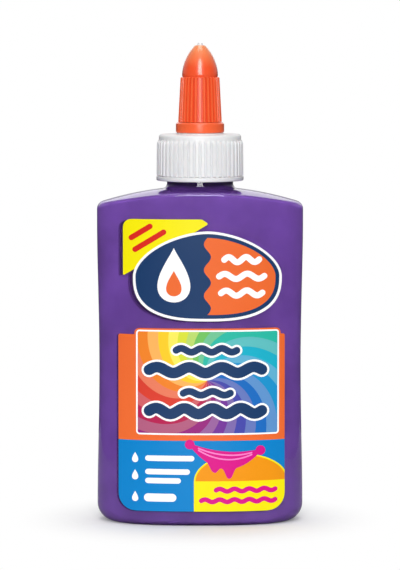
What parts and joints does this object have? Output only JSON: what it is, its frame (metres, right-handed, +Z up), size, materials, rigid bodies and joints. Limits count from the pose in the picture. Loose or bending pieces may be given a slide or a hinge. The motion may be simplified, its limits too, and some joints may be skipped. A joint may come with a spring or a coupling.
{
  "type": "glue bottle",
  "caption": "Clear oval squeeze bottle of purple craft glue, with a ribbed white screw cap and an orange tip that twists up off a closing pin to open.",
  "frame": {"origin": "middle of the base, on the surface that the bottle stands on", "axes": "+Z up along the neck, +X to the right seen from the front label, +Y from the front label to the back one"},
  "size_m": [0.0646, 0.0316, 0.15],
  "materials": {
    "clear_plastic": "clear, glossy, blow moulded",
    "purple_glue": "opaque wet glue against the wall",
    "front_print": "glossy printed film",
    "back_print": "glossy printed film",
    "liner_foam": "fine closed foam",
    "white_plastic": "satin moulded",
    "orange_plastic": "satin moulded, slightly translucent"
  },
  "bodies": {
    "bottle": {"bottle": "clear_plastic", "glue_fill": "purple_glue", "front_label": "front_print", "back_label": "back_print"},
    "liner": {"seal_liner": "liner_foam"},
    "cap": {"screw_cap": "white_plastic"},
    "tip_foot": {"tip_collar": "orange_plastic"},
    "tip": {"twist_tip": "orange_plastic"}
  },
  "joints": [
    {"name": "cap_lift", "type": "slide", "parent": "bottle", "child": "liner", "axis": [0, 0, 1], "range_m": [0, 0.01746]},
    {"name": "cap_turn", "type": "hinge", "parent": "liner", "child": "cap", "pos_m": [0, 0, 0.1145], "axis": [0, 0, 1], "range_deg": [0, 1980]},
    {"name": "tip_lift", "type": "slide", "parent": "cap", "child": "tip_foot", "axis": [0, 0, 1], "range_m": [0, 0.003]},
    {"name": "tip_turn", "type": "hinge", "parent": "tip_foot", "child": "tip", "pos_m": [0, 0, 0.13], "axis": [0, 0, 1], "range_deg": [0, 270]}
  ],
  "couplings": [
    {"joint": "cap_turn", "follows": "cap_lift", "rad_per_m": 1979},
    {"joint": "tip_turn", "follows": "tip_lift", "rad_per_m": 1570.8}
  ]
}
